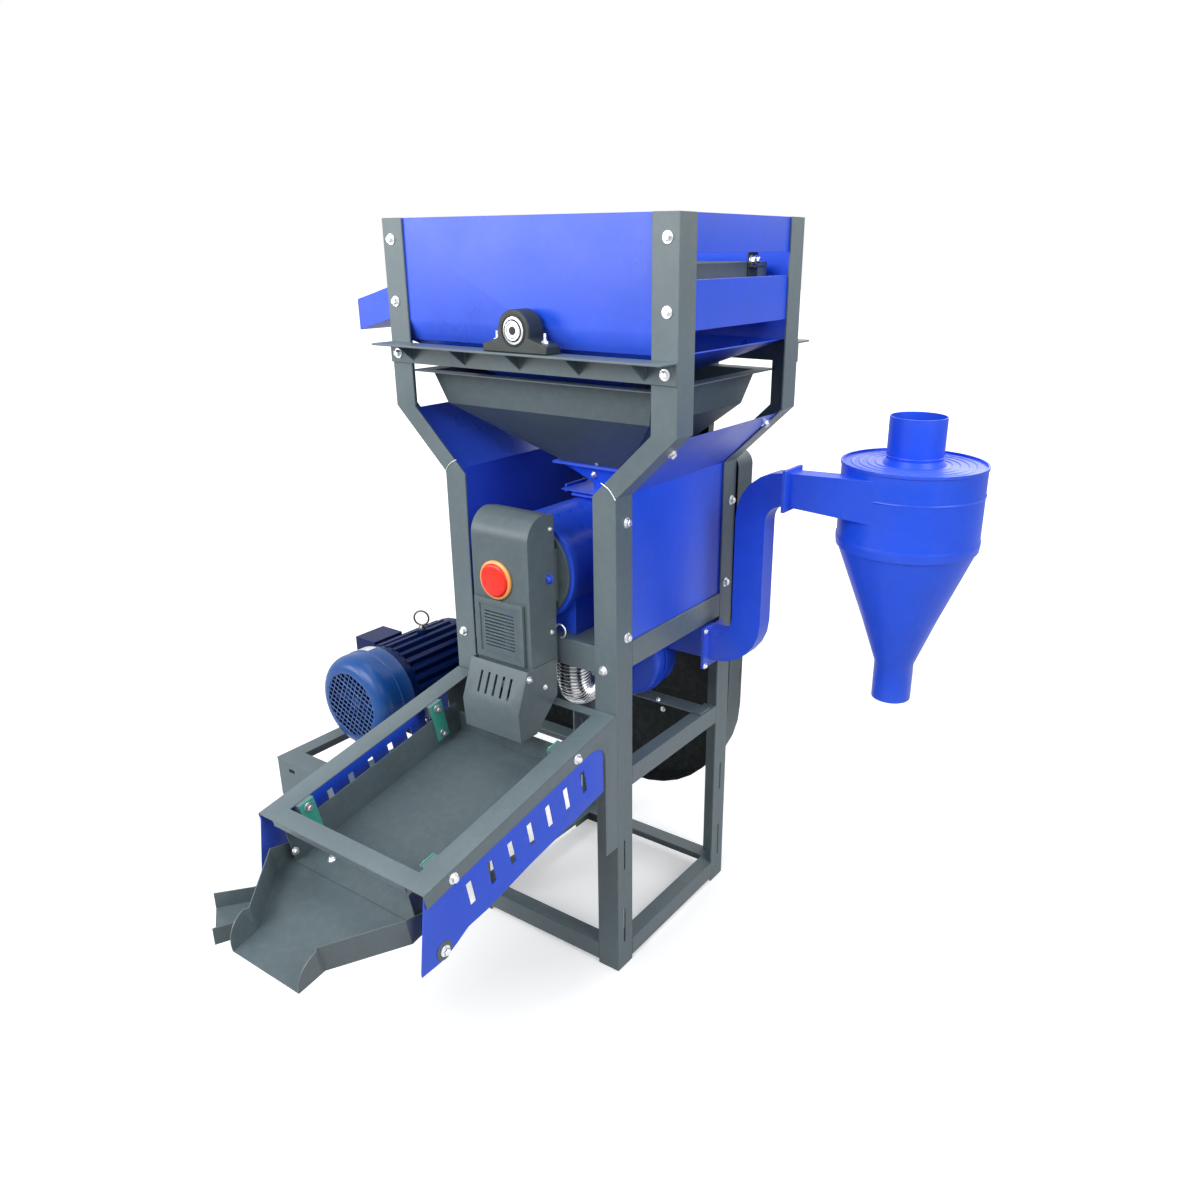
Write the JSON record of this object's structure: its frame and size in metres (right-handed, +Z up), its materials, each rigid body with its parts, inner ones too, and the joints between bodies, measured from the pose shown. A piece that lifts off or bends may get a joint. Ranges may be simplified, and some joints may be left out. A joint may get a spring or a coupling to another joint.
{
  "type": "rice huller",
  "caption": "Rice huller: steel frame with sieve and hopper over a roller mill, grading tray, side motor under a belt guard, blower and cyclone.",
  "frame": {"origin": "centre of the machine's box on the floor", "axes": "+Z up; +X towards the cyclone, away from the motor; +Y to the rear, away from the grading tray"},
  "size_m": [1.422, 1.2064, 1.44],
  "materials": {
    "grey_frame": "satin slate grey paint",
    "blue_sheet": "satin cobalt blue paint",
    "grey_sheet": "satin slate grey paint",
    "cast_block": "dark green-grey cast housing",
    "belt_rubber": "black rubber",
    "machined_steel": "machined steel",
    "sieve_steel": "perforated steel sheet",
    "red_plastic": "bright red plastic",
    "motor_navy": "gloss navy blue paint",
    "guard_grey": "slate grey paint, near black inside",
    "hose_metal": "bright corrugated metal hose",
    "leaf_green": "green painted spring leaf"
  },
  "bodies": {
    "frame": {"front_leg_left": "grey_frame", "front_leg_right": "grey_frame", "rear_leg_left": "grey_frame", "rear_leg_right": "grey_frame", "upper_side_rail_left": "grey_frame", "upper_side_rail_right": "grey_frame", "mid_side_rail_left": "grey_frame", "mid_side_rail_right": "grey_frame", "base_frame": "grey_frame", "mid_cross_rail": "grey_frame", "mill_shelf": "grey_frame", "bearing_rail_front": "grey_frame", "bearing_rail_rear": "grey_frame", "pillow_block_front": "cast_block", "pillow_block_rear": "cast_block", "main_belt": "belt_rubber", "blower_belt": "belt_rubber", "sieve_belt": "belt_rubber", "side_panel_left": "blue_sheet", "side_panel_right": "blue_sheet", "sieve_panel_front": "blue_sheet", "sieve_panel_rear": "blue_sheet", "sieve_side_right": "blue_sheet", "sieve_side_left": "blue_sheet", "catch_pan": "blue_sheet", "paddy_hopper": "grey_sheet", "feed_transition": "blue_sheet", "mill_barrel": "blue_sheet", "mill_end_disc": "grey_sheet", "mill_screen": "sieve_steel", "discharge_cover": "grey_sheet", "red_cap": "red_plastic", "discharge_hood": "grey_sheet", "motor_body": "motor_navy", "fan_cowl": "motor_navy", "motor_stand": "grey_frame", "belt_guard": "guard_grey", "blower_housing": "blue_sheet", "suction_hose": "hose_metal", "riser_duct": "blue_sheet", "cyclone_body": "blue_sheet", "cyclone_lid": "blue_sheet", "tray_frame": "grey_frame", "side_plate_left": "blue_sheet", "side_plate_right": "blue_sheet"},
    "mill_rotor": {"husking_roller": "machined_steel"},
    "motor_rotor": {"motor_rotor": "machined_steel"},
    "blower_rotor": {"blower_wheel": "machined_steel"},
    "eccentric": {"eccentric_shaft": "machined_steel"},
    "sieve": {"sieve_box": "grey_sheet", "sieve_screen": "sieve_steel"},
    "gate": {"slide_gate": "machined_steel"},
    "door": {"grille_door": "grey_sheet"},
    "grader": {"grader_pan": "grey_sheet", "main_chute": "grey_sheet", "lower_chute": "grey_sheet"},
    "rear_leaves": {"rear_leaf_left": "leaf_green", "rear_leaf_right": "leaf_green"},
    "front_leaves": {"front_leaf_left": "leaf_green", "front_leaf_right": "leaf_green"}
  },
  "joints": [
    {"name": "motor_spin", "type": "hinge", "parent": "frame", "child": "motor_rotor", "pos_m": [-0.581, 0.04167, 0.372], "axis": [0, 1, 0], "continuous": true},
    {"name": "mill_spin", "type": "hinge", "parent": "frame", "child": "mill_rotor", "pos_m": [0.019, 0.04167, 0.83], "axis": [0, 1, 0], "continuous": true},
    {"name": "blower_spin", "type": "hinge", "parent": "frame", "child": "blower_rotor", "pos_m": [0.039, 0.04167, 0.5675], "axis": [0, 1, 0], "continuous": true},
    {"name": "eccentric_spin", "type": "hinge", "parent": "frame", "child": "eccentric", "pos_m": [0.0435, 0.04167, 1.261], "axis": [0, 1, 0], "continuous": true},
    {"name": "sieve_shake", "type": "slide", "parent": "frame", "child": "sieve", "axis": [1, 0, 0], "range_m": [-0.008, 0.008]},
    {"name": "gate_slide", "type": "slide", "parent": "frame", "child": "gate", "axis": [-1, 0, 0], "range_m": [0, 0.078]},
    {"name": "door_swing", "type": "hinge", "parent": "frame", "child": "door", "pos_m": [0.074, -0.03862, 0.675], "axis": [0, 0, 1], "range_deg": [0, 90]},
    {"name": "grader_shake", "type": "slide", "parent": "frame", "child": "grader", "axis": [0, 0.9812, 0.193], "range_m": [-0.006, 0.006]},
    {"name": "rear_leaf_swing", "type": "hinge", "parent": "frame", "child": "rear_leaves", "pos_m": [0.019, -0.07856, 0.55012], "axis": [1, 0, 0], "range_deg": [-6, 6]},
    {"name": "front_leaf_swing", "type": "hinge", "parent": "frame", "child": "front_leaves", "pos_m": [0.019, -0.39067, 0.48872], "axis": [1, 0, 0], "range_deg": [-6, 6]}
  ],
  "couplings": [
    {"joint": "mill_spin", "follows": "motor_spin", "ratio": 0.52941},
    {"joint": "blower_spin", "follows": "motor_spin", "ratio": 1.1842},
    {"joint": "eccentric_spin", "follows": "motor_spin", "ratio": 0.38425},
    {"joint": "rear_leaf_swing", "follows": "grader_shake", "rad_per_m": 17.241},
    {"joint": "front_leaf_swing", "follows": "grader_shake", "rad_per_m": 17.241}
  ]
}
